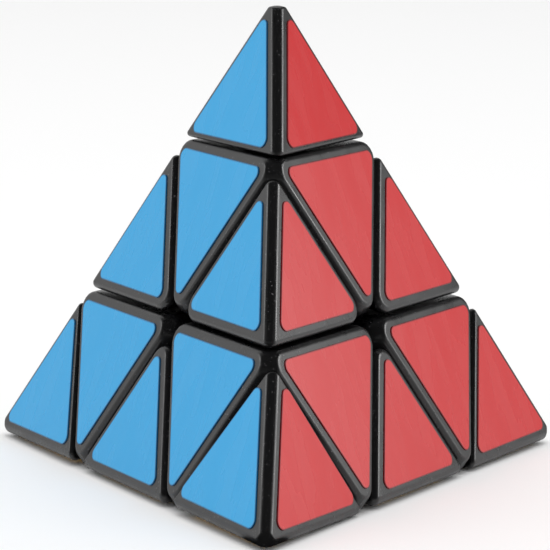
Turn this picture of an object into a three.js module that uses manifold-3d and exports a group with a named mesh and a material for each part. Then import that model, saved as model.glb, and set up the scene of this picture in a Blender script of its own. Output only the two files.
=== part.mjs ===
// Pyramid twisty puzzle: a sprung four-armed core, four centres, six edge pieces, four snap-on tips
// and thirty-six stickers.
// Units are millimetres. The origin is the centre of the puzzle, where the four turning axes meet.
// +Z points to the top corner, the front corner faces -Y, and +X points to the right corner's side.

import * as THREE from 'three';
import { ConvexGeometry } from 'three/addons/geometries/ConvexGeometry.js';
import { mergeVertices } from 'three/addons/utils/BufferGeometryUtils.js';
import Module from 'manifold-3d';

const wasm = await Module();
wasm.setup();

// Puzzle layout
const CELL = 34.85; // side of one of the nine small triangles of a face
const HEIGHT = 3 * CELL * Math.sqrt(2 / 3); // corner to opposite face, before rounding
const LAYER_CUT = HEIGHT / 12; // centre to the cut under each layer
const TIP_CUT = 5 * HEIGHT / 12; // centre to the cut under each tip
const FACE_INSET = 0.45; // the plastic stands in a little from the ideal face
const FACE = HEIGHT / 4 - FACE_INSET; // centre to each plastic face
const HALF_GAP = 0.2; // each piece stands back this far from a cut
const OUTER_ROUND = 1.35; // fillet along the six long edges of the puzzle
const CORNER_ROUND = 3.1; // fillet where two cuts of one piece meet
const CUT_ROUND = 1; // fillet along the cuts of the centres and edge pieces
const TIP_CUT_ROUND = 0.6; // fillet along the cut of a tip
const BLUNT_END = 59.1; // centre to the blunt end of each tip
const DOME_ROUND = 4.2; // the blunt end is a little domed

// Hidden mechanism, all round about the turning axes
const CAVITY_RADIUS = 15.5; // hollow sphere inside the centres
const FOOT_OUTER = 15.2; // edge foot, outer radius
const FOOT_INNER = 12.8; // edge foot, inner radius
const FOOT_CONE = THREE.MathUtils.degToRad(68.5); // the foot stays inside this cone of both its axes
const FOOT_HALF_LENGTH = 10.5;
const STEM_RADIUS = 7; // stem of a centre
const STEM_BORE = 2.9; // turns on the core post
const STEM_FLOOR = 14.2; // underside of the web the spring presses on
const WELL_FLOOR = 16.2; // top of that web
const WELL_RADIUS = 4.2; // well for the spring and the screw head
const SCREW_HOLE = 1.6; // clearance hole through the web
const COLLAR_RADIUS = 5.2; // snap collar of a centre
const COLLAR_TOP = 39.5;
const RIM_RADIUS = 5.8; // snap rim around the collar
const RIM_BOTTOM = 38.3;
const RIM_CHAMFER = 0.4;
const POCKET_MOUTH = 5.5; // opening in a tip's base, turns on the collar
const POCKET_GROOVE = 6.1; // groove the rim runs in
const GROOVE_BOTTOM = 37.9;
const GROOVE_TOP = 40.2;
const HOLLOW_RADIUS = 4.5; // hollow inside a tip
const HOLLOW_TOP_RADIUS = 1.5;
const HOLLOW_TOP = 50;

// Core, screws and springs
const HUB_RADIUS = 6;
const ARM_RADIUS = 4.6;
const ARM_LENGTH = 7;
const POST_RADIUS = 2.6;
const POST_LENGTH = 13.5;
const SCREW_RADIUS = 1.3;
const SCREW_START = 6.5;
const FLANGE_RADIUS = 3.7;
const FLANGE_BOTTOM = 23.6;
const FLANGE_TOP = 24.2;
const HEAD_RADIUS = 3;
const HEAD_TOP = 26.4;
const HEAD_CROWN = 0.8;
const RECESS_LENGTH = 3.4;
const RECESS_WIDTH = 0.8;
const RECESS_DEPTH = 1.4;
const WIRE_RADIUS = 0.35;
const COIL_RADIUS = 2.7;
const COIL_TURNS = 3.5;
const COIL_CLEARANCE = 0.05;

// Stickers
const STICKER_THICKNESS = 0.2;
const STICKER_CORNER = 1.2;
const TIP_STICKER = { outer: 2.45, cut: 1 }; // margins from the piece's own sharp borders
const EDGE_STICKER = { outer: 2.35, cut: 2.25 };
const CENTRE_STICKER = { outer: 0, cut: 1.5 };

// Roundness of the facets
const ROUND_SEGMENTS = 24;
const BALL_SEGMENTS = 32;
const HUB_SEGMENTS = 16;
const HALF_WIRE_SEGMENTS = 3;
const COIL_STEPS = 11;
const CORNER_SEGMENTS = 3;
const REACH = 200; // larger than the puzzle, for cutting bodies
const SPARE = 4; // a cutting cell reaches this far past the outer faces

const CORNERS = ['top', 'front', 'left', 'right'];
const AXES = {
  top: new THREE.Vector3(0, 0, 1),
  front: new THREE.Vector3(0, -2 * Math.SQRT2 / 3, -1 / 3),
  left: new THREE.Vector3(-Math.sqrt(2 / 3), Math.SQRT2 / 3, -1 / 3),
  right: new THREE.Vector3(Math.sqrt(2 / 3), Math.SQRT2 / 3, -1 / 3),
};
const EDGES = [
  ['top', 'front'],
  ['top', 'left'],
  ['top', 'right'],
  ['front', 'left'],
  ['front', 'right'],
  ['left', 'right'],
];
// Each face lies opposite one corner.
const FACE_OPPOSITE = { bottom: 'top', rear: 'front', right: 'left', left: 'right' };
const STICKER_COLOURS = { left: '#4faee1', right: '#d9484b', rear: '#2f9e4f', bottom: '#f2c81e' };

const ABS = { color: '#141415', roughness: 0.38, metalness: 0 };
const CORE_ABS = { color: '#1c1c1e', roughness: 0.5, metalness: 0 };
const SCREW_STEEL = { color: '#b9bcc0', roughness: 0.3, metalness: 1 };
const SPRING_STEEL = { color: '#9a9da1', roughness: 0.35, metalness: 1 };

function toSolid(geometry) {
  const bare = geometry.index ? geometry.toNonIndexed() : geometry.clone();
  bare.deleteAttribute('normal');
  bare.deleteAttribute('uv');
  const merged = mergeVertices(bare, 1e-4);
  const index = merged.index.array;
  const kept = [];
  for (let i = 0; i < index.length; i += 3) {
    const [a, b, c] = [index[i], index[i + 1], index[i + 2]];
    if (a !== b && b !== c && c !== a) kept.push(a, b, c);
  }
  const mesh = new wasm.Mesh({
    numProp: 3,
    vertProperties: new Float32Array(merged.attributes.position.array),
    triVerts: new Uint32Array(kept),
  });
  return new wasm.Manifold(mesh);
}

function toGeometry(solid) {
  const mesh = solid.getMesh();
  const geometry = new THREE.BufferGeometry();
  geometry.setAttribute('position', new THREE.BufferAttribute(mesh.vertProperties, 3));
  geometry.setIndex(new THREE.BufferAttribute(mesh.triVerts, 1));
  return geometry;
}

// A half-space: the material side satisfies normal . x <= offset.
function halfSpace(normal, offset, kind) {
  return { normal, offset, kind };
}

function above(corner, distance, kind) {
  return halfSpace(AXES[corner].clone().negate(), -distance, kind);
}

function below(corner, distance, kind) {
  return halfSpace(AXES[corner].clone(), distance, kind);
}

function outerFace(corner) {
  return halfSpace(AXES[corner].clone().negate(), FACE, 'outer');
}

function tipPlanes(corner) {
  const others = CORNERS.filter((other) => other !== corner);
  return [above(corner, TIP_CUT + HALF_GAP, 'cut'), ...others.map(outerFace)];
}

function centrePlanes(corner) {
  const others = CORNERS.filter((other) => other !== corner);
  return [
    above(corner, LAYER_CUT + HALF_GAP, 'cut'),
    below(corner, TIP_CUT - HALF_GAP, 'cut'),
    ...others.map((other) => below(other, LAYER_CUT - HALF_GAP, 'cut')),
    ...others.map(outerFace),
  ];
}

function edgePlanes(first, second) {
  const others = CORNERS.filter((other) => other !== first && other !== second);
  return [
    above(first, LAYER_CUT + HALF_GAP, 'cut'),
    above(second, LAYER_CUT + HALF_GAP, 'cut'),
    ...others.map(outerFace),
  ];
}

function meetingPoint(a, b, c) {
  const rows = new THREE.Matrix3().set(...a.normal, ...b.normal, ...c.normal);
  if (Math.abs(rows.determinant()) < 1e-6) return null;
  return new THREE.Vector3(a.offset, b.offset, c.offset).applyMatrix3(rows.invert());
}

function polyhedronPoints(planes) {
  const points = [];
  for (let i = 0; i < planes.length; i++) {
    for (let j = i + 1; j < planes.length; j++) {
      for (let k = j + 1; k < planes.length; k++) {
        const point = meetingPoint(planes[i], planes[j], planes[k]);
        const inside = point && planes.every((plane) => plane.normal.dot(point) < plane.offset + 1e-6);
        if (inside) points.push(point);
      }
    }
  }
  return points;
}

function inset(planes, distances) {
  return planes.map((plane) => halfSpace(plane.normal, plane.offset - distances[plane.kind], plane.kind));
}

// Directions that round a piece off: the puzzle's own face directions, so flats stay exact,
// and the directions between them. The puzzle's face directions are a cube's corner directions.
function roundingDirections(cubeDirections) {
  const inCube = [];
  for (const x of [-2, -1, 0, 1, 2]) {
    for (const y of [-2, -1, 0, 1, 2]) {
      for (const z of [-2, -1, 0, 1, 2]) {
        const sizes = [x, y, z].map(Math.abs).sort().join('');
        if (cubeDirections.includes(sizes)) inCube.push(new THREE.Vector3(x, y, z));
      }
    }
  }
  const toPuzzle = new THREE.Matrix4().makeBasis(
    AXES.top.clone().add(AXES.front).normalize(),
    AXES.top.clone().add(AXES.left).normalize(),
    AXES.top.clone().add(AXES.right).normalize(),
  );
  return inCube.map((direction) => direction.normalize().applyMatrix4(toPuzzle).normalize());
}

const COARSE_DIRECTIONS = roundingDirections(['111', '002', '022']);
const FINE_DIRECTIONS = roundingDirections(['111', '002', '022', '112']);

function swollen(points, radius, directions) {
  const cloud = [];
  for (const point of points) {
    for (const direction of directions) cloud.push(point.clone().addScaledVector(direction, radius));
  }
  return new ConvexGeometry(cloud);
}

function cornersOf(solid) {
  const position = toGeometry(solid).attributes.position;
  const points = [];
  for (let i = 0; i < position.count; i++) points.push(new THREE.Vector3().fromBufferAttribute(position, i));
  return points;
}

// A piece cut from the rounded pyramid, with its own cut borders rounded as well. A domed end,
// if it has one, is given before its last rounding.
function roundedPiece(planes, cutRound, domedEnd) {
  const pyramid = polyhedronPoints(inset(CORNERS.map(outerFace), { outer: OUTER_ROUND }));
  const roundedPyramid = toSolid(swollen(pyramid, OUTER_ROUND - cutRound, FINE_DIRECTIONS));
  const cell = polyhedronPoints(inset(planes, { outer: -SPARE, cut: CORNER_ROUND }));
  const roundedCell = toSolid(swollen(cell, CORNER_ROUND - cutRound, FINE_DIRECTIONS));
  let kernel = roundedPyramid.intersect(roundedCell);
  if (domedEnd) kernel = kernel.intersect(domedEnd);
  return toSolid(swollen(cornersOf(kernel), cutRound, COARSE_DIRECTIONS));
}

// Turns a [radius, distance] profile about the top axis.
function turned(profile, segments = ROUND_SEGMENTS) {
  const points = profile.map(([radius, distance]) => new THREE.Vector2(radius, distance));
  return toSolid(new THREE.LatheGeometry(points, segments).rotateX(Math.PI / 2));
}

function rod(radius, start, end) {
  return turned([[0, start], [radius, start], [radius, end], [0, end]]);
}

function ball(radius, segments) {
  return toSolid(new THREE.SphereGeometry(radius, segments, segments / 2));
}

function block(width, depth, height, matrix) {
  return toSolid(new THREE.BoxGeometry(width, depth, height).applyMatrix4(matrix));
}

function cornerBasis(first, second) {
  const aside = new THREE.Vector3().crossVectors(AXES[first], AXES[second]);
  return new THREE.Matrix4().makeBasis(AXES[first], AXES[second], aside);
}

// The turn that carries the top and front corners to two other corners.
function turnTo(first, second) {
  return cornerBasis(first, second).multiply(cornerBasis('top', 'front').invert());
}

function turnCornerTo(corner) {
  return corner === 'top' ? new THREE.Matrix4() : turnTo(corner, 'top');
}

function placed(solid, matrix) {
  return toSolid(toGeometry(solid).applyMatrix4(matrix));
}

function makeTopTip() {
  const pocket = turned([
    [0, TIP_CUT - 1],
    [POCKET_MOUTH, TIP_CUT - 1],
    [POCKET_MOUTH, GROOVE_BOTTOM],
    [POCKET_GROOVE, GROOVE_BOTTOM + RIM_CHAMFER],
    [POCKET_GROOVE, GROOVE_TOP],
    [HOLLOW_RADIUS, GROOVE_TOP + RIM_CHAMFER],
    [HOLLOW_TOP_RADIUS, HOLLOW_TOP],
    [0, HOLLOW_TOP],
  ]);
  const domePoints = [AXES.top.clone().multiplyScalar(BLUNT_END - DOME_ROUND)];
  for (const other of ['front', 'left', 'right']) {
    domePoints.push(AXES[other].clone().multiplyScalar(BLUNT_END));
  }
  const domedEnd = toSolid(swollen(domePoints, DOME_ROUND - TIP_CUT_ROUND, FINE_DIRECTIONS));
  return roundedPiece(tipPlanes('top'), TIP_CUT_ROUND, domedEnd).subtract(pocket);
}

function makeTopCentre() {
  const stem = rod(STEM_RADIUS, LAYER_CUT + HALF_GAP, CAVITY_RADIUS + 2);
  const collar = turned([
    [0, TIP_CUT - 2],
    [COLLAR_RADIUS, TIP_CUT - 2],
    [COLLAR_RADIUS, RIM_BOTTOM],
    [RIM_RADIUS, RIM_BOTTOM + RIM_CHAMFER],
    [RIM_RADIUS, COLLAR_TOP - RIM_CHAMFER],
    [COLLAR_RADIUS, COLLAR_TOP],
    [0, COLLAR_TOP],
  ]);
  const bore = turned([
    [0, 0],
    [STEM_BORE, 0],
    [STEM_BORE, STEM_FLOOR],
    [SCREW_HOLE, STEM_FLOOR],
    [SCREW_HOLE, WELL_FLOOR],
    [WELL_RADIUS, WELL_FLOOR],
    [WELL_RADIUS, COLLAR_TOP + 1],
    [0, COLLAR_TOP + 1],
  ]);
  const body = roundedPiece(centrePlanes('top'), CUT_ROUND).subtract(ball(CAVITY_RADIUS, BALL_SEGMENTS));
  return body.add(stem).add(collar).subtract(bore);
}

// The foot of the edge piece between the top and front corners.
function makeFoot() {
  const cone = turned([
    [0, 0],
    [CELL * Math.sin(FOOT_CONE), CELL * Math.cos(FOOT_CONE)],
    [CELL * Math.sin(FOOT_CONE), CELL],
    [0, CELL],
  ], BALL_SEGMENTS);
  const otherCone = placed(cone, turnTo('front', 'top'));
  const outward = AXES.top.clone().add(AXES.front).normalize();
  const across = AXES.top.clone().sub(AXES.front).normalize();
  const along = new THREE.Vector3().crossVectors(across, outward);
  const frame = new THREE.Matrix4().makeBasis(along, across, outward);
  const ends = block(2 * FOOT_HALF_LENGTH, REACH, REACH, frame);
  const shell = ball(FOOT_OUTER, BALL_SEGMENTS).subtract(ball(FOOT_INNER, BALL_SEGMENTS));
  return shell.intersect(cone).intersect(otherCone).intersect(ends);
}

function makeTopFrontEdge() {
  return roundedPiece(edgePlanes('top', 'front'), CUT_ROUND).add(makeFoot());
}

function makeCore() {
  const arm = rod(ARM_RADIUS, 0, ARM_LENGTH).add(rod(POST_RADIUS, 0, POST_LENGTH));
  const screwHole = rod(SCREW_RADIUS, SCREW_START, REACH);
  let core = ball(HUB_RADIUS, HUB_SEGMENTS);
  for (const corner of CORNERS) core = core.add(placed(arm, turnCornerTo(corner)));
  for (const corner of CORNERS) core = core.subtract(placed(screwHole, turnCornerTo(corner)));
  return core;
}

function makeTopScrew() {
  const body = turned([
    [0, SCREW_START],
    [SCREW_RADIUS, SCREW_START],
    [SCREW_RADIUS, FLANGE_BOTTOM],
    [FLANGE_RADIUS, FLANGE_BOTTOM],
    [FLANGE_RADIUS, FLANGE_TOP],
    [HEAD_RADIUS, FLANGE_TOP],
    [HEAD_RADIUS, HEAD_TOP - HEAD_CROWN],
    [HEAD_RADIUS - HEAD_CROWN, HEAD_TOP],
    [0, HEAD_TOP],
  ]);
  const place = new THREE.Matrix4().makeTranslation(0, 0, HEAD_TOP);
  const slot = block(RECESS_LENGTH, RECESS_WIDTH, 2 * RECESS_DEPTH, place);
  const crossSlot = block(RECESS_WIDTH, RECESS_LENGTH, 2 * RECESS_DEPTH, place);
  return body.subtract(slot.add(crossSlot));
}

class Coil extends THREE.Curve {
  constructor(start, end) {
    super();
    this.start = start;
    this.end = end;
  }

  getPoint(t) {
    const angle = 2 * Math.PI * COIL_TURNS * t;
    const height = this.start + (this.end - this.start) * t;
    return new THREE.Vector3(COIL_RADIUS * Math.cos(angle), COIL_RADIUS * Math.sin(angle), height);
  }
}

function makeTopSpring() {
  const stand = WIRE_RADIUS + COIL_CLEARANCE;
  const section = new THREE.Shape();
  section.absarc(0, 0, WIRE_RADIUS, 0, 2 * Math.PI);
  return toSolid(new THREE.ExtrudeGeometry(section, {
    steps: Math.round(COIL_TURNS * COIL_STEPS),
    curveSegments: HALF_WIRE_SEGMENTS,
    bevelEnabled: false,
    extrudePath: new Coil(WELL_FLOOR + stand, FLANGE_BOTTOM - stand),
  }));
}

// The sticker's sharp corners, from its face and the three borders of the piece on that face.
function stickerCorners(face, borders, margins) {
  const corners = [];
  const lines = borders.map((border) => {
    const lean = Math.sqrt(1 - border.normal.dot(face.normal) ** 2);
    return halfSpace(border.normal, border.offset - margins[border.kind] * lean, border.kind);
  });
  for (let i = 0; i < 3; i++) corners.push(meetingPoint(face, lines[i], lines[(i + 1) % 3]));
  return corners;
}

function roundedTriangle(points, radius) {
  const shape = new THREE.Shape();
  const reach = radius * Math.sqrt(3); // corner to tangent point of a 60 degree corner
  points.forEach((point, i) => {
    const previous = points[(i + 2) % 3];
    const next = points[(i + 1) % 3];
    const enter = point.clone().add(previous.clone().sub(point).setLength(reach));
    const leave = point.clone().add(next.clone().sub(point).setLength(reach));
    if (i === 0) shape.moveTo(enter.x, enter.y);
    else shape.lineTo(enter.x, enter.y);
    shape.quadraticCurveTo(point.x, point.y, leave.x, leave.y);
  });
  shape.closePath();
  return shape;
}

function makeSticker(face, borders, margins) {
  const corners = stickerCorners(face, borders, margins);
  const u = corners[1].clone().sub(corners[0]).normalize();
  const v = new THREE.Vector3().crossVectors(face.normal, u);
  const flat = corners.map((corner) => {
    const offset = corner.clone().sub(corners[0]);
    return new THREE.Vector2(offset.dot(u), offset.dot(v));
  });
  const plate = new THREE.ExtrudeGeometry(roundedTriangle(flat, STICKER_CORNER), {
    depth: STICKER_THICKNESS,
    curveSegments: CORNER_SEGMENTS,
    bevelEnabled: false,
  });
  plate.applyMatrix4(new THREE.Matrix4().makeBasis(u, v, face.normal).setPosition(corners[0]));
  return toSolid(plate);
}

// One sticker on each outer face the piece shows.
function stickersOf(planes, margins, pieceName, borderFilter) {
  const stickers = [];
  for (const [faceName, opposite] of Object.entries(FACE_OPPOSITE)) {
    const normal = AXES[opposite].clone().negate();
    const face = planes.find((plane) => plane.kind === 'outer' && plane.normal.dot(normal) > 0.999);
    if (face) {
      const borders = planes.filter((plane) => plane !== face && borderFilter(plane, face));
      const name = `sticker_${faceName}_${pieceName}`;
      stickers.push({ name, faceName, solid: makeSticker(face, borders, margins) });
    }
  }
  return stickers;
}

const puzzle = new THREE.Group();
puzzle.name = 'pyramid_puzzle';

function addPart(name, solid, finish) {
  const mesh = new THREE.Mesh(toGeometry(solid), new THREE.MeshStandardMaterial(finish));
  mesh.name = name;
  mesh.material.name = name;
  puzzle.add(mesh);
}

function addStickers(stickers) {
  for (const { name, faceName, solid } of stickers) {
    addPart(name, solid, { color: STICKER_COLOURS[faceName], roughness: 0.3, metalness: 0 });
  }
}

addPart('core', makeCore(), CORE_ABS);

const topScrew = makeTopScrew();
const topSpring = makeTopSpring();
for (const corner of CORNERS) {
  addPart(`screw_${corner}`, placed(topScrew, turnCornerTo(corner)), SCREW_STEEL);
  addPart(`spring_${corner}`, placed(topSpring, turnCornerTo(corner)), SPRING_STEEL);
}

const topCentre = makeTopCentre();
for (const corner of CORNERS) {
  // A centre's visible triangle is bounded by the tip cut and by the two neighbouring layer cuts.
  const touching = (plane, face) => plane.kind === 'cut' && plane.normal.dot(face.normal) > 0;
  addPart(`centre_${corner}`, placed(topCentre, turnCornerTo(corner)), ABS);
  addStickers(stickersOf(centrePlanes(corner), CENTRE_STICKER, `centre_${corner}`, touching));
}

const topFrontEdge = makeTopFrontEdge();
for (const [first, second] of EDGES) {
  const name = `edge_${first}_${second}`;
  addPart(name, placed(topFrontEdge, turnTo(first, second)), ABS);
  addStickers(stickersOf(edgePlanes(first, second), EDGE_STICKER, name, () => true));
}

const topTip = makeTopTip();
for (const corner of CORNERS) {
  addPart(`tip_${corner}`, placed(topTip, turnCornerTo(corner)), ABS);
  addStickers(stickersOf(tipPlanes(corner), TIP_STICKER, `tip_${corner}`, () => true));
}

export default puzzle;
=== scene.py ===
import math

import bmesh
import bpy
import numpy as np
from mathutils import Matrix, Vector


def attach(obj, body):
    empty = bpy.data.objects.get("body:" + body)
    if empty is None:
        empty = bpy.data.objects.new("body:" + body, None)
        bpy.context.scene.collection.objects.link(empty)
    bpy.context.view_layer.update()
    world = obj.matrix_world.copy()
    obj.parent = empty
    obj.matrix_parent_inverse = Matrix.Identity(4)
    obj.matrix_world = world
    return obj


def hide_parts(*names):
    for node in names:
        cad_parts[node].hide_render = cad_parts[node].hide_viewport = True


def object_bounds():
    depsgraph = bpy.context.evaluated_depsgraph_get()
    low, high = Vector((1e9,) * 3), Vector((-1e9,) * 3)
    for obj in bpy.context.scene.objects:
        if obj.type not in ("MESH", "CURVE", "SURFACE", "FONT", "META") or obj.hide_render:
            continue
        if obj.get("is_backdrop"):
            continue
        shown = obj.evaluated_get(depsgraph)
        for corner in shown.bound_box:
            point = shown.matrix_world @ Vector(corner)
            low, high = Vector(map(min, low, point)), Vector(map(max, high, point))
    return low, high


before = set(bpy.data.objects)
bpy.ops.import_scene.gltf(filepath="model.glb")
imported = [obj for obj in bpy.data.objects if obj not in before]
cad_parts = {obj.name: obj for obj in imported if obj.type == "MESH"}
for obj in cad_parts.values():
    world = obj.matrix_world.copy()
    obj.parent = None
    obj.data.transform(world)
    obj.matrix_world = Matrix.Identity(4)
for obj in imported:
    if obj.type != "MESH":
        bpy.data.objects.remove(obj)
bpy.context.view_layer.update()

scene = bpy.context.scene

# ---- Camera ---------------------------------------------------------------------------
# A long lens, almost square on to the front edge and a little above the table, so that
# the two front faces show evenly and stay nearly parallel-sided.
MM = 0.001
VIEW_AZIMUTH = math.radians(1.0)
VIEW_ELEVATION = math.radians(9.63)
VIEW_ROLL = math.radians(0.6)
VIEW_DISTANCE = 592.5 * MM
VIEW_RAISED = 12.9 * MM
VIEW_ASIDE = 0.24 * MM
LENS = 226.5  # on a 36 mm sensor

view_back = Vector((math.sin(VIEW_AZIMUTH) * math.cos(VIEW_ELEVATION),
                    -math.cos(VIEW_AZIMUTH) * math.cos(VIEW_ELEVATION),
                    math.sin(VIEW_ELEVATION)))
level = Vector((math.cos(VIEW_AZIMUTH), math.sin(VIEW_AZIMUTH), 0))
plumb = view_back.cross(level)
view_across = level * math.cos(VIEW_ROLL) + plumb * math.sin(VIEW_ROLL)
view_up = plumb * math.cos(VIEW_ROLL) - level * math.sin(VIEW_ROLL)

camera_data = bpy.data.cameras.new("studio_camera")
camera_data.sensor_width = 36
camera_data.lens = LENS
camera_data.clip_start = 0.01
camera = bpy.data.objects.new("studio_camera", camera_data)
stand_point = view_back * VIEW_DISTANCE + view_across * VIEW_ASIDE + view_up * VIEW_RAISED
turn = Matrix((view_across, view_up, view_back)).transposed().to_4x4()
camera.matrix_world = Matrix.Translation(stand_point) @ turn
scene.collection.objects.link(camera)
scene.camera = camera
scene.view_settings.view_transform = "Standard"

# ---- Core -----------------------------------------------------------------------------
# The four-armed hub that everything turns on: one injection moulding in plain ABS,
# straight from a fine spark-eroded mould, never seen once the puzzle is closed.
CORE_BLACK = "#1c1c1e"


def linear(hex_colour):
    """An sRGB hex colour as linear red, green, blue and full alpha."""
    parts = [int(hex_colour[i:i + 2], 16) / 255 for i in (1, 3, 5)]
    return [c / 12.92 if c <= 0.04045 else ((c + 0.055) / 1.055) ** 2.4 for c in parts] + [1.0]


def add_node(tree, kind, settings, links):
    """Adds one node: settings are its own choices, links are its inputs, as values or outputs."""
    made = tree.nodes.new(kind)
    for name, value in settings.items():
        setattr(made, name, value)
    for name, value in links.items():
        socket = made.inputs[name]
        if isinstance(value, bpy.types.NodeSocket):
            tree.links.new(value, socket)
        else:
            socket.default_value = value
    return made


def start_material(name):
    """An empty material, its node tree, and the place on the piece that its patterns are laid by."""
    material = bpy.data.materials.new(name)
    material.use_nodes = True
    tree = material.node_tree
    tree.nodes.clear()
    place = add_node(tree, "ShaderNodeTexCoord", {}, {}).outputs["Object"]
    return material, tree, place


def finish_material(tree, surface, bump):
    """The surface's shader with a bump on it, joined to the output."""
    shader = add_node(tree, "ShaderNodeBsdfPrincipled", {}, {**surface, "Normal": bump})
    add_node(tree, "ShaderNodeOutputMaterial", {}, {"Surface": shader.outputs["BSDF"]})


def per_metre(millimetres):
    """The noise scale whose grains are about this many millimetres across."""
    return 1 / (millimetres * MM)


def matte_core_abs():
    """Moulded ABS with an eroded grain: a soft, even, low sheen."""
    material, tree, place = start_material("moulded_core_abs")
    # Eroded grain is near 0.05 mm; it is drawn at 0.2 mm so that it shows.
    grain = add_node(tree, "ShaderNodeTexNoise", {}, {"Vector": place, "Scale": per_metre(0.2)})
    bump = add_node(tree, "ShaderNodeBump", {},
                    {"Height": grain.outputs["Fac"], "Strength": 0.25, "Distance": 0.02 * MM})
    gloss = add_node(tree, "ShaderNodeMapRange", {},
                     {"Value": grain.outputs["Fac"], "To Min": 0.45, "To Max": 0.6})
    finish_material(tree, {"Base Color": linear(CORE_BLACK), "IOR": 1.53,
                           "Roughness": gloss.outputs["Result"]}, bump.outputs["Normal"])
    return material


def dress(node_name, material):
    """Gives a carried-over CAD node its finish."""
    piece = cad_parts[node_name]
    piece.data.materials.clear()
    piece.data.materials.append(material)


dress("core", matte_core_abs())

# ---- Centre pieces --------------------------------------------------------------------
# Four ABS mouldings, one on each arm of the core, that carry a whole layer round. Each is
# hollow about the core, with a stem that turns on the core's post and a snap collar on top.
CELL = 34.85  # side of one of the nine small triangles of a face
HEIGHT = 3 * CELL * math.sqrt(2 / 3)
LAYER_CUT = HEIGHT / 12
TIP_CUT = 5 * HEIGHT / 12
FACE_INSET = 0.45
FACE = HEIGHT / 4 - FACE_INSET
HALF_GAP = 0.2
OUTER_ROUND = 1.35  # along the six long edges of the puzzle
CORNER_ROUND = 3.1  # where two cuts of one piece meet
CUT_ROUND = 1.0  # along the cuts
ROUND_STEPS = 4  # half the number of steps round a fillet
TURNED_STEPS = 72
BALL_STEPS = 64
SPARE = 4  # a cutting cell reaches this far past the outer faces
OVERLAP = 2  # joined parts run this far into each other
OVERRUN = 1  # a cutter runs this far past the surface
CLOSE_POINT = 1e-3
SAME_POINT = 1e-4
PARALLEL = 1e-6
CAVITY_RADIUS = 15.5
STEM_RADIUS = 7
STEM_BORE = 2.9
STEM_FLOOR = 14.2
WELL_FLOOR = 16.2
WELL_RADIUS = 4.2
SCREW_HOLE = 1.6
COLLAR_RADIUS = 5.2
COLLAR_TOP = 39.5
RIM_RADIUS = 5.8
RIM_BOTTOM = 38.3
CHAMFER = 0.4
PUZZLE_BLACK = "#131314"
WORN_GREY = "#8a878b"

AXES = {
    "top": Vector((0, 0, 1)),
    "front": Vector((0, -2 * math.sqrt(2) / 3, -1 / 3)),
    "left": Vector((-math.sqrt(2 / 3), math.sqrt(2) / 3, -1 / 3)),
    "right": Vector((math.sqrt(2 / 3), math.sqrt(2) / 3, -1 / 3)),
}


def besides(*corners):
    return [corner for corner in AXES if corner not in corners]


def above(corner, height):
    """A cut: its outward normal, how far out it lies, and that it is no outer face."""
    return (-AXES[corner], -height, False)


def below(corner, height):
    return (AXES[corner], height, False)


def outer_face(corner):
    return (-AXES[corner], FACE, True)


def centre_walls(corner):
    return ([above(corner, LAYER_CUT + HALF_GAP), below(corner, TIP_CUT - HALF_GAP)]
            + [below(other, LAYER_CUT - HALF_GAP) for other in besides(corner)]
            + [outer_face(other) for other in besides(corner)])


def moved_walls(walls, cut_in, face_out):
    """The same walls with the cuts moved in and the outer faces moved out."""
    return [(normal, offset + (face_out if outer else -cut_in), outer) for normal, offset, outer in walls]


def meeting_point(walls):
    normals = Matrix([wall[0] for wall in walls])
    if abs(normals.determinant()) < PARALLEL:
        return None
    return normals.inverted() @ Vector([wall[1] for wall in walls])


def wall_corners(walls):
    """The corners of the solid that a set of walls encloses."""
    corners = []
    count = len(walls)
    for i in range(count):
        for j in range(i + 1, count):
            for k in range(j + 1, count):
                point = meeting_point([walls[i], walls[j], walls[k]])
                if point and all(wall[0].dot(point) < wall[1] + CLOSE_POINT for wall in walls):
                    corners.append(point)
    return corners


def fillet_directions():
    """Directions all round, on a cube's grid whose corners are the puzzle's face directions."""
    sides = Matrix([(AXES["top"] + AXES[other]).normalized() for other in besides("top")])
    grid = range(-ROUND_STEPS, ROUND_STEPS + 1)
    shell = [(x, y, z) for x in grid for y in grid for z in grid if ROUND_STEPS in map(abs, (x, y, z))]
    return [(sides.transposed() @ Vector(point)).normalized() for point in shell]


def as_object(bm, name):
    mesh = bpy.data.meshes.new(name)
    bm.to_mesh(mesh)
    bm.free()
    made = bpy.data.objects.new(name, mesh)
    scene.collection.objects.link(made)
    return made


def swollen(points, radius):
    """The smooth skin round a set of points, a radius away from them."""
    cloud = np.array([list(point) for point in points])
    ways = np.array([list(way) for way in fillet_directions()])
    spread = (cloud[:, None, :] + radius * ways[None, :, :]).reshape(-1, 3)
    bm = bmesh.new()
    for point in spread:
        bm.verts.new(point)
    hull = bmesh.ops.convex_hull(bm, input=bm.verts, use_existing_faces=False)
    spare = {v for v in hull["geom_interior"] + hull["geom_unused"] if isinstance(v, bmesh.types.BMVert)}
    bmesh.ops.delete(bm, geom=list(spare), context="VERTS")
    bmesh.ops.remove_doubles(bm, verts=bm.verts, dist=SAME_POINT)
    bmesh.ops.recalc_face_normals(bm, faces=bm.faces)
    return as_object(bm, "swollen")


def joined(body, tool, operation):
    """Joins, cuts or keeps the overlap of two solids, and leaves one."""
    change = body.modifiers.new("shape", "BOOLEAN")
    change.solver = "MANIFOLD"
    change.operation = operation
    change.object = tool
    bpy.context.view_layer.update()
    shaped = body.evaluated_get(bpy.context.evaluated_depsgraph_get())
    mesh = bpy.data.meshes.new_from_object(shaped)
    body.modifiers.clear()
    body.data = mesh
    bpy.data.objects.remove(tool)
    return body


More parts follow.
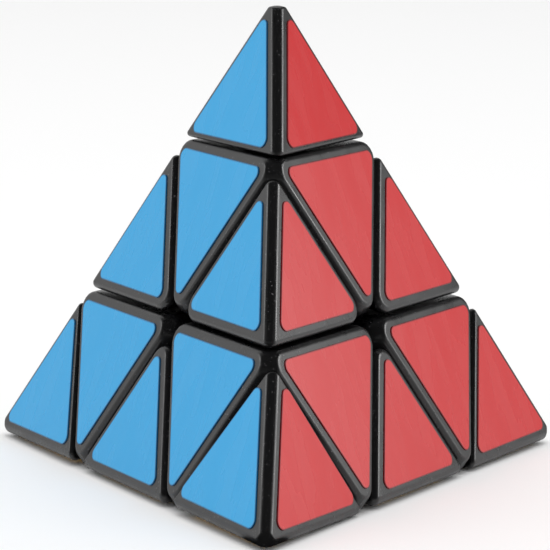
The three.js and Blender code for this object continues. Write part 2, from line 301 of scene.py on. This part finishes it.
def rounded_piece(walls, cut_round, domed_end=None):
    """A piece cut from the rounded pyramid, with its own borders rounded too.

    A domed end, if it has one, is given before its last rounding.
    """
    pyramid = wall_corners([(normal, offset - OUTER_ROUND, True)
                            for normal, offset, outer in map(outer_face, AXES)])
    kernel = swollen(pyramid, OUTER_ROUND - cut_round)
    cell = swollen(wall_corners(moved_walls(walls, CORNER_ROUND, SPARE)), CORNER_ROUND - cut_round)
    kernel = joined(kernel, cell, "INTERSECT")
    if domed_end:
        kernel = joined(kernel, domed_end, "INTERSECT")
    points = [vertex.co.copy() for vertex in kernel.data.vertices]
    bpy.data.objects.remove(kernel)
    return swollen(points, cut_round)


def turned(profile, steps=TURNED_STEPS):
    """A solid turned about the top axis from [radius, height] points, closed on the axis."""
    bm = bmesh.new()
    rings = []
    for radius, height in profile:
        around = [2 * math.pi * i / steps for i in range(steps)] if radius else [0]
        rings.append([bm.verts.new((radius * math.cos(a), radius * math.sin(a), height)) for a in around])
    for low, high in zip(rings, rings[1:]):
        for i in range(steps):
            j = (i + 1) % steps
            if len(low) == 1:
                bm.faces.new((low[0], high[j], high[i]))
            elif len(high) == 1:
                bm.faces.new((low[i], low[j], high[0]))
            else:
                bm.faces.new((low[i], low[j], high[j], high[i]))
    bmesh.ops.recalc_face_normals(bm, faces=bm.faces)
    return as_object(bm, "turned")


def ball(radius):
    half = BALL_STEPS // 2
    arc = [math.pi * i / half for i in range(half + 1)]
    profile = [(radius * math.sin(a), -radius * math.cos(a)) for a in arc]
    profile[0], profile[-1] = (0, -radius), (0, radius)
    return turned(profile, BALL_STEPS)


def corner_basis(first, second):
    return Matrix((AXES[first], AXES[second], AXES[first].cross(AXES[second]))).transposed()


def turn_to(first, second):
    """The turn that carries the top and front corners to two other corners."""
    return (corner_basis(first, second) @ corner_basis("top", "front").inverted()).to_4x4()


def turn_corner_to(corner):
    return Matrix.Identity(4) if corner == "top" else turn_to(corner, "top")


def gloss_abs():
    """Moulded ABS worn by handling: semi-gloss black, its gloss uneven from handling, with scattered dusty
    specks.
    """
    material, tree, place = start_material("handled_black_abs")
    # Mould grain is near 0.05 mm; it is drawn at 0.3 mm so that it shows.
    grain = add_node(tree, "ShaderNodeTexNoise", {},
                     {"Vector": place, "Scale": per_metre(0.3), "Detail": 3.0})
    bump = add_node(tree, "ShaderNodeBump", {},
                    {"Height": grain.outputs["Fac"], "Strength": 0.12, "Distance": 0.01 * MM})
    handling = add_node(tree, "ShaderNodeTexNoise", {},
                        {"Vector": place, "Scale": per_metre(5), "Detail": 4.0})
    gloss = add_node(tree, "ShaderNodeMapRange", {},
                     {"Value": handling.outputs["Fac"], "From Min": 0.3, "From Max": 0.7,
                      "To Min": 0.24, "To Max": 0.36})
    specks = add_node(tree, "ShaderNodeTexNoise", {},
                      {"Vector": place, "Scale": per_metre(0.45), "Detail": 2.0})
    speck = add_node(tree, "ShaderNodeMapRange", {},
                     {"Value": specks.outputs["Fac"], "From Min": 0.66, "From Max": 0.74,
                      "To Min": 0.0, "To Max": 0.35})
    colour = add_node(tree, "ShaderNodeMix", {"data_type": "RGBA"},
                      {0: speck.outputs["Result"], 6: linear(PUZZLE_BLACK), 7: linear(WORN_GREY)})
    finish_material(tree, {"Base Color": colour.outputs[2], "IOR": 1.53,
                           "Roughness": gloss.outputs["Result"]}, bump.outputs["Normal"])
    return material


black_abs = gloss_abs()


def place_piece(master, name, matrix, body, material):
    """A copy of a finished solid, in metres, in its place and riding on its body."""
    mesh = master.data.copy()
    mesh.transform(Matrix.Diagonal((MM, MM, MM, 1)) @ matrix)
    mesh.name = name
    mesh.materials.clear()
    mesh.materials.append(material)
    made = bpy.data.objects.new(name, mesh)
    scene.collection.objects.link(made)
    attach(made, body)
    return made


def soften(piece):
    """Shades the fillets smoothly and keeps the flats flat."""
    for polygon in piece.data.polygons:
        polygon.use_smooth = True
    weigh = piece.modifiers.new("even_shading", "WEIGHTED_NORMAL")
    weigh.keep_sharp = True
    weigh.weight = 100


stem = turned([(0, LAYER_CUT + HALF_GAP), (STEM_RADIUS, LAYER_CUT + HALF_GAP),
               (STEM_RADIUS, CAVITY_RADIUS + OVERLAP), (0, CAVITY_RADIUS + OVERLAP)])
collar = turned([(0, TIP_CUT - OVERLAP), (COLLAR_RADIUS, TIP_CUT - OVERLAP), (COLLAR_RADIUS, RIM_BOTTOM),
                 (RIM_RADIUS, RIM_BOTTOM + CHAMFER), (RIM_RADIUS, COLLAR_TOP - CHAMFER),
                 (COLLAR_RADIUS, COLLAR_TOP), (0, COLLAR_TOP)])
bore = turned([(0, 0), (STEM_BORE, 0), (STEM_BORE, STEM_FLOOR), (SCREW_HOLE, STEM_FLOOR),
               (SCREW_HOLE, WELL_FLOOR), (WELL_RADIUS, WELL_FLOOR),
               (WELL_RADIUS, COLLAR_TOP + OVERRUN), (0, COLLAR_TOP + OVERRUN)])
centre_master = joined(rounded_piece(centre_walls("top"), CUT_ROUND), ball(CAVITY_RADIUS), "DIFFERENCE")
centre_master = joined(centre_master, stem, "UNION")
centre_master = joined(centre_master, collar, "UNION")
centre_master = joined(centre_master, bore, "DIFFERENCE")

for corner in AXES:
    moulding = place_piece(centre_master, f"centre_moulding_{corner}", turn_corner_to(corner),
                           f"layer_{corner}", black_abs)
    soften(moulding)
    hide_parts(f"centre_{corner}")
bpy.data.objects.remove(centre_master)

# ---- Springs and screws ---------------------------------------------------------------
# A coiled steel wire and a steel cross-head screw in each centre's well, which pull the
# centre on to the core and set how tightly the layers turn.
STEEL = "#c3c5c8"


def plain_steel(name, low_gloss, high_gloss):
    """Drawn and turned steel: a bright metal with fine lines round the part."""
    material, tree, place = start_material(name)
    # Tool lines are near 0.03 mm apart; they are drawn 0.15 mm apart so that they show.
    lines = add_node(tree, "ShaderNodeTexNoise", {},
                     {"Vector": place, "Scale": per_metre(0.15), "Detail": 2.0})
    bump = add_node(tree, "ShaderNodeBump", {},
                    {"Height": lines.outputs["Fac"], "Strength": 0.2, "Distance": 0.01 * MM})
    gloss = add_node(tree, "ShaderNodeMapRange", {},
                     {"Value": lines.outputs["Fac"], "To Min": low_gloss, "To Max": high_gloss})
    finish_material(tree, {"Base Color": linear(STEEL), "Metallic": 1.0,
                           "Roughness": gloss.outputs["Result"]}, bump.outputs["Normal"])
    return material


spring_wire = plain_steel("drawn_spring_steel", 0.25, 0.4)
turned_steel = plain_steel("turned_screw_steel", 0.2, 0.35)
for corner in AXES:
    dress(f"spring_{corner}", spring_wire)
    dress(f"screw_{corner}", turned_steel)

# ---- Edge pieces ----------------------------------------------------------------------
# Six ABS mouldings with two outer faces each, held in by a curved foot that hooks under
# the two centres beside it and slides round inside their hollow.
FOOT_OUTER = 15.2
FOOT_INNER = 12.8
FOOT_CONE = math.radians(68.5)
FOOT_HALF_LENGTH = 10.5
EDGES = [("top", "front"), ("top", "left"), ("top", "right"),
         ("front", "left"), ("front", "right"), ("left", "right")]


def edge_walls(first, second):
    return ([above(first, LAYER_CUT + HALF_GAP), above(second, LAYER_CUT + HALF_GAP)]
            + [outer_face(other) for other in besides(first, second)])


def edge_foot():
    """The foot of the edge piece between the top and front corners."""
    wide, high = CELL * math.sin(FOOT_CONE), CELL * math.cos(FOOT_CONE)
    outward = (AXES["top"] + AXES["front"]).normalized()
    across = (AXES["top"] - AXES["front"]).normalized()
    ends = bmesh.new()
    bmesh.ops.create_cube(ends, size=2 * CELL)
    bmesh.ops.scale(ends, vec=(FOOT_HALF_LENGTH / CELL, 1, 1), verts=ends.verts)
    basis = Matrix((across.cross(outward), across, outward)).transposed().to_4x4()
    bmesh.ops.transform(ends, matrix=basis, verts=ends.verts)
    shell = joined(ball(FOOT_OUTER), ball(FOOT_INNER), "DIFFERENCE")
    for place in (Matrix.Identity(4), turn_to("front", "top")):
        cone = turned([(0, 0), (wide, high), (wide, CELL), (0, CELL)])
        cone.data.transform(place)
        shell = joined(shell, cone, "INTERSECT")
    return joined(shell, as_object(ends, "ends"), "INTERSECT")


edge_master = joined(rounded_piece(edge_walls("top", "front"), CUT_ROUND), edge_foot(), "UNION")
for first, second in EDGES:
    moulding = place_piece(edge_master, f"edge_moulding_{first}_{second}", turn_to(first, second),
                           f"edge_{first}_{second}", black_abs)
    soften(moulding)
    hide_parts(f"edge_{first}_{second}")
bpy.data.objects.remove(edge_master)

# ---- Tips -----------------------------------------------------------------------------
# Four small ABS caps that snap over the centres' collars and spin freely there, so each
# one comes to rest a degree or two off square.
POCKET_MOUTH = 5.5
POCKET_GROOVE = 6.1
GROOVE_BOTTOM = 37.9
GROOVE_TOP = 40.2
HOLLOW_RADIUS = 4.5
HOLLOW_TOP_RADIUS = 1.5
HOLLOW_TOP = 50
TIP_CUT_ROUND = 0.6
BLUNT_END = 59.1  # the sharp point is moulded off, as a low dome
DOME_ROUND = 4.2
TIP_LEAN = {"top": 1.8, "front": -1.9, "left": 1.3, "right": 1.0}  # degrees about its own axis


def tip_walls(corner):
    return [above(corner, TIP_CUT + HALF_GAP)] + [outer_face(other) for other in besides(corner)]


def lean(corner):
    return Matrix.Rotation(math.radians(TIP_LEAN[corner]), 4, AXES[corner])


pocket = turned([(0, TIP_CUT - OVERRUN), (POCKET_MOUTH, TIP_CUT - OVERRUN), (POCKET_MOUTH, GROOVE_BOTTOM),
                 (POCKET_GROOVE, GROOVE_BOTTOM + CHAMFER), (POCKET_GROOVE, GROOVE_TOP),
                 (HOLLOW_RADIUS, GROOVE_TOP + CHAMFER), (HOLLOW_TOP_RADIUS, HOLLOW_TOP),
                 (0, HOLLOW_TOP)])
dome_points = [AXES["top"] * (BLUNT_END - DOME_ROUND)]
dome_points += [AXES[other] * BLUNT_END for other in besides("top")]
domed_end = swollen(dome_points, DOME_ROUND - TIP_CUT_ROUND)
tip_master = joined(rounded_piece(tip_walls("top"), TIP_CUT_ROUND, domed_end), pocket, "DIFFERENCE")
for corner in AXES:
    moulding = place_piece(tip_master, f"tip_moulding_{corner}", lean(corner) @ turn_corner_to(corner),
                           f"tip_{corner}", black_abs)
    soften(moulding)
    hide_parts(f"tip_{corner}")
bpy.data.objects.remove(tip_master)

# ---- Stickers -------------------------------------------------------------------------
# Thirty-six die-cut triangles of self-adhesive coloured vinyl, a fifth of a millimetre
# thick, one on each outer face of every piece, with rounded corners and painted shade along the cut edge.
STICKER_THICKNESS = 0.2
STICKER_CORNER = 1.35
EDGE_SLOPE = 0.06  # the knife leaves the top edge a little rounded
EDGE_SHADE_WIDTH = 0.3  # the band inside the cut edge where shade is painted
CORNER_STEPS = 10
TIP_MARGINS = (2.45, 1.0)  # from the outer edges and from the cuts
EDGE_MARGINS = (2.35, 2.25)
CENTRE_MARGINS = (0, 1.5)
LAID_ASIDE = {"left": -0.4, "right": 0.4, "rear": 0, "bottom": 0}  # laid by hand, a little off centre
FACES = {"left": "right", "right": "left", "rear": "front", "bottom": "top"}  # and the corner opposite
# Each face's vinyl: its material name, its colour, and the colour of the painted shade along its cut edge.
VINYL = {"left": ("sky_blue_vinyl", "#08a0dc", "#0a2450"), "right": ("red_vinyl", "#d01c20", "#3a060e"),
         "rear": ("green_vinyl", "#24924a", "#06301a"), "bottom": ("yellow_vinyl", "#eebc12", "#6a4a00")}


def vinyl(name, face_colour, edge_shade_colour):
    """Calendered vinyl: flat colour under a satin surface, its gloss uneven along rub streaks, with painted
    streaky sheen and painted shade along the cut edge.
    """
    material, tree, place = start_material(name)
    along = add_node(tree, "ShaderNodeUVMap", {"uv_map": "face_mm"}, {}).outputs["UV"]
    # Rub marks run up the face, about 4 mm apart and 16 mm long.
    stretched = add_node(tree, "ShaderNodeMapping", {}, {"Vector": along, "Scale": (1.0, 0.25, 1.0)})
    streaks = add_node(tree, "ShaderNodeTexNoise", {},
                       {"Vector": stretched.outputs["Vector"], "Scale": 0.25, "Detail": 2.0})
    # Painted sheen: white is mixed into the colour along the rub streaks.
    streak_sheen = add_node(tree, "ShaderNodeMapRange", {},
                    {"Value": streaks.outputs["Fac"], "From Min": 0.4, "From Max": 0.7,
                     "To Min": 0.0, "To Max": 0.012})
    # Painted shade: the band along the cut edge is darkened towards its shade colour.
    edge_shade = add_node(tree, "ShaderNodeAttribute", {"attribute_name": "edge_shade"}, {})
    edge_shade_share = add_node(tree, "ShaderNodeMapRange", {}, {"Value": edge_shade.outputs["Fac"], "To Max": 0.8})
    colour = add_node(tree, "ShaderNodeMix", {"data_type": "RGBA"},
                      {0: streak_sheen.outputs["Result"], 6: linear(face_colour), 7: linear("#ffffff")})
    edge_shaded = add_node(tree, "ShaderNodeMix", {"data_type": "RGBA"},
                     {0: edge_shade_share.outputs["Result"], 6: colour.outputs[2], 7: linear(edge_shade_colour)})
    gloss = add_node(tree, "ShaderNodeMapRange", {},
                     {"Value": streaks.outputs["Fac"], "From Min": 0.3, "From Max": 0.7,
                      "To Min": 0.265, "To Max": 0.28})
    # The calendered surface has 0.4 mm ripples.
    ripple = add_node(tree, "ShaderNodeTexNoise", {},
                      {"Vector": place, "Scale": per_metre(0.4), "Detail": 2.0})
    bump = add_node(tree, "ShaderNodeBump", {},
                    {"Height": ripple.outputs["Fac"], "Strength": 0.1, "Distance": 0.01 * MM})
    finish_material(tree, {"Base Color": edge_shaded.outputs[2], "IOR": 1.48,
                           "Roughness": gloss.outputs["Result"]}, bump.outputs["Normal"])
    return material


def sticker_outline(corners, inset):
    """The points round a triangle with arc corners, moved in from its edge, in order."""
    middle = sum(corners, Vector((0, 0, 0))) / 3
    radius = STICKER_CORNER - inset
    points = []
    for i, corner in enumerate(corners):
        to_last = (corners[i - 1] - corner).normalized()
        to_next = (corners[(i + 1) % 3] - corner).normalized()
        centre = corner + (middle - corner).normalized() * 2 * STICKER_CORNER
        leave = (to_next * math.sqrt(3) * STICKER_CORNER + corner - centre).normalized()
        enter = (to_last * math.sqrt(3) * STICKER_CORNER + corner - centre).normalized()
        for step in range(CORNER_STEPS + 1):
            share = step / CORNER_STEPS
            points.append(centre + enter.slerp(leave, share) * radius)
    return points


def cut_sticker(name, face_name, face, borders, margins, matrix, body):
    """Cuts one sticker to the face of its piece and lays it there."""
    normal = face[0]
    lines = []
    for border in borders:
        slant = math.sqrt(1 - border[0].dot(normal) ** 2)
        margin = margins[0] if border[2] else margins[1]
        lines.append((border[0], border[1] - margin * slant, border[2]))
    corners = [meeting_point([face, lines[i], lines[(i + 1) % 3]]) for i in range(3)]
    if (corners[1] - corners[0]).cross(corners[2] - corners[0]).dot(normal) < 0:
        corners.reverse()
    up = Vector((0, 0, 1)) if abs(normal.z) < 0.9 else Vector((0, 1, 0))
    aside = up.cross(normal).normalized()
    slope = normal.cross(aside)
    bm = bmesh.new()
    edge_shade = bm.verts.layers.float.new("edge_shade")
    # Each lap: inset, height, and whether it lies in the painted shade along the cut edge.
    laps = [(0, 0, 1), (0, STICKER_THICKNESS - EDGE_SLOPE, 1),
            (EDGE_SLOPE, STICKER_THICKNESS, 1), (EDGE_SHADE_WIDTH, STICKER_THICKNESS, 0)]
    rings = []
    for inset, height, in_edge_shade in laps:
        ring = [bm.verts.new(point + normal * height) for point in sticker_outline(corners, inset)]
        for vertex in ring:
            vertex[edge_shade] = in_edge_shade
        rings.append(ring)
    count = len(rings[0])
    for low, high in zip(rings, rings[1:]):
        for i in range(count):
            bm.faces.new((low[i], low[(i + 1) % count], high[(i + 1) % count], high[i]))
    bm.faces.new(rings[-1])
    bm.faces.new(list(reversed(rings[0])))
    mapping = bm.loops.layers.uv.new("face_mm")
    for polygon in bm.faces:
        for loop in polygon.loops:
            loop[mapping].uv = (loop.vert.co.dot(aside), loop.vert.co.dot(slope))
    blank = as_object(bm, "blank")
    shift = Matrix.Translation(aside * LAID_ASIDE[face_name])
    made = place_piece(blank, f"vinyl_{name}", matrix @ shift, body, vinyls[face_name])
    bpy.data.objects.remove(blank)
    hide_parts(f"sticker_{name}")


vinyls = {face: vinyl(*VINYL[face]) for face in FACES}


def dress_faces(piece_name, walls, margins, body, matrix, only_own_cuts=False):
    """Lays a sticker on each outer face of one piece."""
    for face_name, opposite in FACES.items():
        for face in walls:
            if face[2] and (face[0] + AXES[opposite]).length < PARALLEL:
                borders = [wall for wall in walls if wall is not face]
                if only_own_cuts:
                    borders = [wall for wall in borders if not wall[2] and wall[0].dot(face[0]) > 0]
                cut_sticker(f"{face_name}_{piece_name}", face_name, face, borders, margins, matrix, body)


for corner in AXES:
    dress_faces(f"centre_{corner}", centre_walls(corner), CENTRE_MARGINS, f"layer_{corner}",
                Matrix.Identity(4), only_own_cuts=True)
    dress_faces(f"tip_{corner}", tip_walls(corner), TIP_MARGINS, f"tip_{corner}", lean(corner))
for first, second in EDGES:
    dress_faces(f"edge_{first}_{second}", edge_walls(first, second), EDGE_MARGINS,
                f"edge_{first}_{second}", Matrix.Identity(4))

# ---- Floor ----------------------------------------------------------------------------
# A sheet of matt white card under the puzzle, wide enough to be the whole background.
FLOOR_SIZE = 8
FLOOR_WHITE = "#fcfcfc"


def matt_card(name, colour):
    """Uncoated card: no shine, and a faint unevenness of tone."""
    material, tree, place = start_material(name)
    fibres = add_node(tree, "ShaderNodeTexNoise", {},
                      {"Vector": place, "Scale": per_metre(2), "Detail": 3.0})
    bump = add_node(tree, "ShaderNodeBump", {},
                    {"Height": fibres.outputs["Fac"], "Strength": 0.05, "Distance": 0.05 * MM})
    finish_material(tree, {"Base Color": linear(colour), "Roughness": 0.9,
                           "Specular IOR Level": 0.2}, bump.outputs["Normal"])
    return material


card = bmesh.new()
bmesh.ops.create_grid(card, x_segments=8, y_segments=8, size=FLOOR_SIZE / 2)
floor = as_object(card, "floor")
floor.location.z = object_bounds()[0][2]
floor.data.materials.append(matt_card("matt_white_card", FLOOR_WHITE))
floor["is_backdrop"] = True

# ---- Light ----------------------------------------------------------------------------
# A white room that the two front faces mirror, black cloth round the camera and on the
# table that keeps the front edge dark, a box on each side for its shine, and one overhead.
ROOM_LIGHT = 0.85
room = bpy.data.worlds.new("white_room")
room.use_nodes = True
room.node_tree.nodes["Background"].inputs["Color"].default_value = linear("#ffffff")
room.node_tree.nodes["Background"].inputs["Strength"].default_value = ROOM_LIGHT
scene.world = room


def soft_box(name, place, width, height, power, mirrored):
    """A soft box turned to face the puzzle: one that only shows in its gloss, or one that only lights it."""
    lamp = bpy.data.lights.new(name, "AREA")
    lamp.shape = "RECTANGLE"
    lamp.size = width
    lamp.size_y = height
    lamp.energy = power
    stand = bpy.data.objects.new(name, lamp)
    stand.location = place
    stand.rotation_euler = (-Vector(place)).to_track_quat("-Z", "Y").to_euler()
    stand.visible_glossy = mirrored
    stand.visible_diffuse = not mirrored
    scene.collection.objects.link(stand)


soft_box("right_box", (0.625, 0.155, 0.26), 0.14, 0.35, 1.6, mirrored=True)
soft_box("left_box", (-0.65, 0.14, 0.3), 0.08, 0.35, 0.6, mirrored=True)
soft_box("overhead_box", (0, -0.2, 1.4), 1.2, 1.2, 6, mirrored=False)

# The cards and cloths only show in the puzzle's gloss: the camera doesn't see them.
DOME_RADIUS = 1.6
DOME_STEPS = 24
FLOOR_CLOTH_SIZE = 0.3
FLOOR_CLOTH_MIDDLE = -0.2


def hang_unseen(sheet, name, colour):
    card = as_object(sheet, name)
    card.data.materials.append(matt_card(name, colour))
    card.visible_camera = False
    card.visible_diffuse = False
    card.visible_shadow = False
    card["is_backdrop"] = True
    return card


def dome_card(name, sideways, over, colour):
    """Part of a dome about the left-right axis: sideways and over are its angles, from and to, in degrees."""
    rows = []
    sheet = bmesh.new()
    for i in range(DOME_STEPS + 1):
        side = math.radians(sideways[0] + (sideways[1] - sideways[0]) * i / DOME_STEPS)
        rows.append([])
        for j in range(DOME_STEPS + 1):
            rise = math.radians(over[0] + (over[1] - over[0]) * j / DOME_STEPS)
            way = Vector((math.sin(side), -math.cos(side) * math.cos(rise), math.cos(side) * math.sin(rise)))
            rows[-1].append(sheet.verts.new(way * DOME_RADIUS))
    for one, two in zip(rows, rows[1:]):
        for j in range(DOME_STEPS):
            sheet.faces.new((one[j], two[j], two[j + 1], one[j + 1]))
    hang_unseen(sheet, name, colour)


dome_card("black_cloth", (-62, 62), (-2, 112), "#050505")
dome_card("grey_card", (10, 58), (112, 181), "#606060")
cloth = bmesh.new()
bmesh.ops.create_grid(cloth, x_segments=1, y_segments=1, size=FLOOR_CLOTH_SIZE / 2)
floor_cloth = hang_unseen(cloth, "floor_cloth", "#050505")
floor_cloth.location = (0, FLOOR_CLOTH_MIDDLE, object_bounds()[0][2] + 0.2 * MM)
